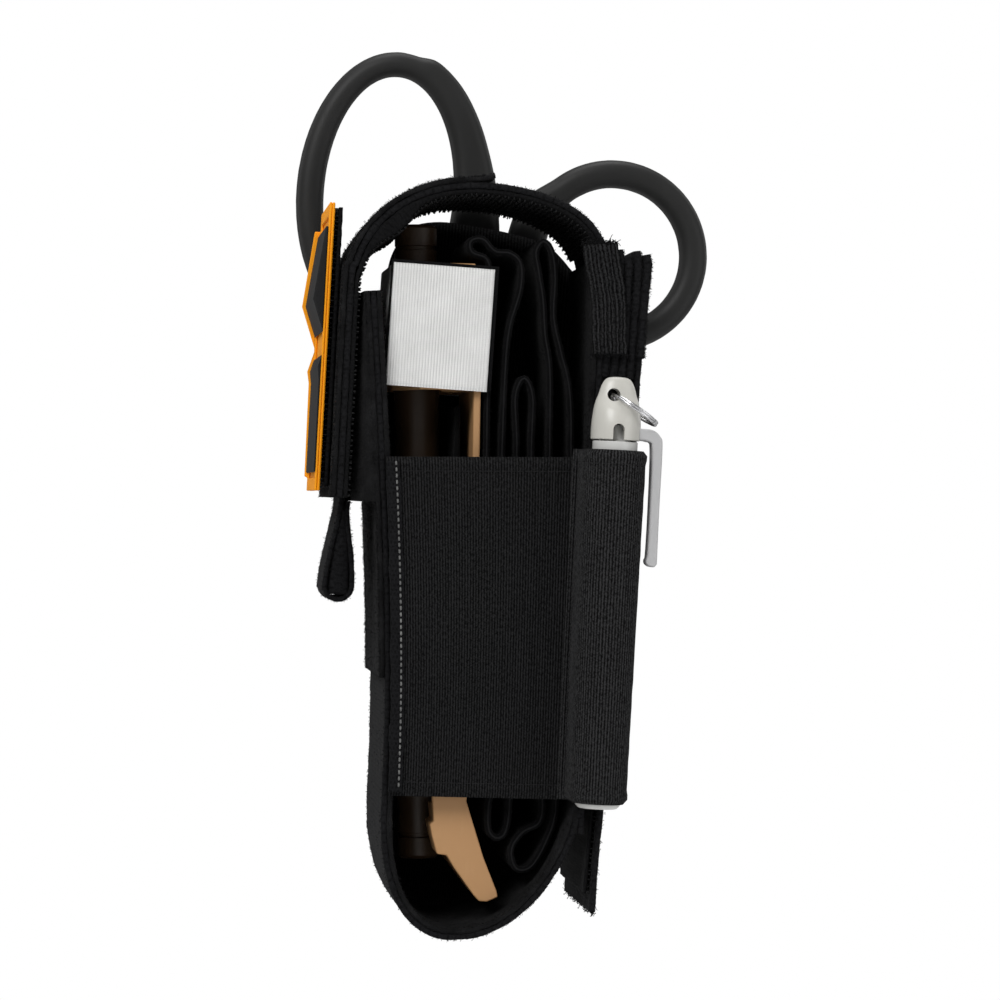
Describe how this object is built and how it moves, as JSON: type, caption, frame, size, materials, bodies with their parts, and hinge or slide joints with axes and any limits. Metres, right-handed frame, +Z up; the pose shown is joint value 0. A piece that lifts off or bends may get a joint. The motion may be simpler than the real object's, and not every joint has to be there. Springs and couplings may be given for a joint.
{
  "type": "tourniquet in a belt holder",
  "caption": "Packed windlass tourniquet in a webbing belt holder with an over-the-top flap, trauma shears and a capped marker.",
  "frame": {"origin": "centre of the back face of the sewn pad that the belt strap hangs from", "axes": "+X out of the back face towards the wearer, +Y across the kit from the marker to the shears, +Z up"},
  "size_m": [0.1032, 0.0782, 0.2106],
  "materials": {
    "webbing": "woven nylon",
    "loop_cloth": "brushed loop",
    "hook_cloth": "hook pile",
    "elastic": "ribbed elastic",
    "patch_black": "matte",
    "patch_orange": "satin",
    "tan_plastic": "moulded",
    "rod_brown": "moulded, ribbed",
    "band_black": "napped band",
    "strap_white": "ribbed ribbon",
    "handle_plastic": "satin",
    "blade_black": "black coated",
    "pivot_steel": "turned",
    "marker_white": "satin",
    "ink_fibre": "fibre",
    "nib_felt": "felt",
    "cap_grey": "satin",
    "clip_grey": "satin",
    "ring_chrome": "polished"
  },
  "bodies": {
    "holder": {"outer_strap": "webbing", "strap_lining": "loop_cloth", "front_loop_panel": "loop_cloth", "near_side_panel": "elastic", "far_side_panel": "elastic", "marker_sleeve": "elastic", "shears_loop": "elastic", "edge_keeper": "elastic", "sewn_pad": "webbing", "belt_loop_patch": "loop_cloth"},
    "belt_strap": {"belt_strap": "webbing", "belt_hook_patch": "hook_cloth"},
    "flap_top": {"flap_hook_top": "hook_cloth", "flap_web_top": "webbing", "flap_cover_top": "loop_cloth"},
    "flap_front": {"flap_hook_front": "hook_cloth", "flap_web_front": "webbing", "flap_cover_front": "loop_cloth"},
    "pull_tab": {"pull_tab": "webbing"},
    "patch": {"patch_hook": "hook_cloth", "patch_base": "patch_orange", "patch_border": "patch_orange", "patch_upper_pad": "patch_black", "patch_lower_pad": "patch_black"},
    "tourniquet": {"base_plate": "tan_plastic", "windlass_clip": "tan_plastic", "windlass_rod": "rod_brown", "friction_buckle": "tan_plastic", "self_adhering_band": "band_black", "tension_band": "band_black", "windlass_tape": "band_black", "time_strap_wrap": "strap_white"},
    "time_strap": {"time_strap_face": "strap_white", "time_strap_backing": "hook_cloth"},
    "shears": {"big_handle": "handle_plastic", "fixed_blade": "blade_black", "pivot_screw": "pivot_steel", "pivot_nut": "pivot_steel"},
    "shears_lever": {"small_handle": "handle_plastic", "moving_blade": "blade_black"},
    "marker": {"marker_barrel": "marker_white", "ink_reservoir": "ink_fibre", "nib_holder": "marker_white", "felt_nib": "nib_felt", "end_plug": "marker_white"},
    "cap": {"marker_cap": "cap_grey", "cap_clip": "clip_grey"},
    "key_ring": {"split_ring": "ring_chrome"}
  },
  "joints": [
    {"name": "flap_open", "type": "hinge", "parent": "holder", "child": "flap_top", "pos_m": [-0.0104, 0, 0.0117], "axis": [0, 1, 0], "range_deg": [0, 110]},
    {"name": "flap_peel", "type": "hinge", "parent": "flap_top", "child": "flap_front", "pos_m": [-0.05994, 0, 0.02166], "axis": [0, 1, 0], "range_deg": [0, 66]},
    {"name": "pull_tab_swing", "type": "hinge", "parent": "flap_front", "child": "pull_tab", "pos_m": [-0.0657, 0, -0.0511], "axis": [0, 1, 0], "range_deg": [0, 75]},
    {"name": "patch_pull", "type": "slide", "parent": "flap_front", "child": "patch", "axis": [-0.9995, 0, -0.0326], "range_m": [0, 0.03]},
    {"name": "tourniquet_lift", "type": "slide", "parent": "holder", "child": "tourniquet", "axis": [-0.0698, 0, 0.9976], "range_m": [0, 0.05952]},
    {"name": "time_strap_open", "type": "hinge", "parent": "tourniquet", "child": "time_strap", "pos_m": [-0.0594, -0.021, -0.00865], "axis": [0.0698, 0, -0.9976], "range_deg": [0, 80]},
    {"name": "belt_strap_open", "type": "hinge", "parent": "holder", "child": "belt_strap", "pos_m": [-0.0008, 0, -0.0121], "axis": [0, -1, 0], "range_deg": [0, 100]},
    {"name": "shears_draw", "type": "slide", "parent": "holder", "child": "shears", "axis": [0, 0, 1], "range_m": [0, 0.15]},
    {"name": "shears_open", "type": "hinge", "parent": "shears", "child": "shears_lever", "pos_m": [-0.0258, 0.032, -0.034], "axis": [0, 1, 0], "range_deg": [0, 24]},
    {"name": "marker_draw", "type": "slide", "parent": "holder", "child": "marker", "axis": [-0.0375, 0, 0.9993], "range_m": [0, 0.1]},
    {"name": "cap_pull", "type": "slide", "parent": "marker", "child": "cap", "axis": [-0.0375, 0, 0.9993], "range_m": [0, 0.03]},
    {"name": "ring_swing", "type": "hinge", "parent": "cap", "child": "key_ring", "pos_m": [-0.00781, -0.0336, -0.02047], "axis": [0, -1, 0], "range_deg": [0, 100]}
  ],
  "couplings": [
    {"joint": "flap_peel", "follows": "flap_open", "ratio": 0.6},
    {"joint": "tourniquet_lift", "follows": "flap_open", "m_per_rad": 0.031}
  ]
}
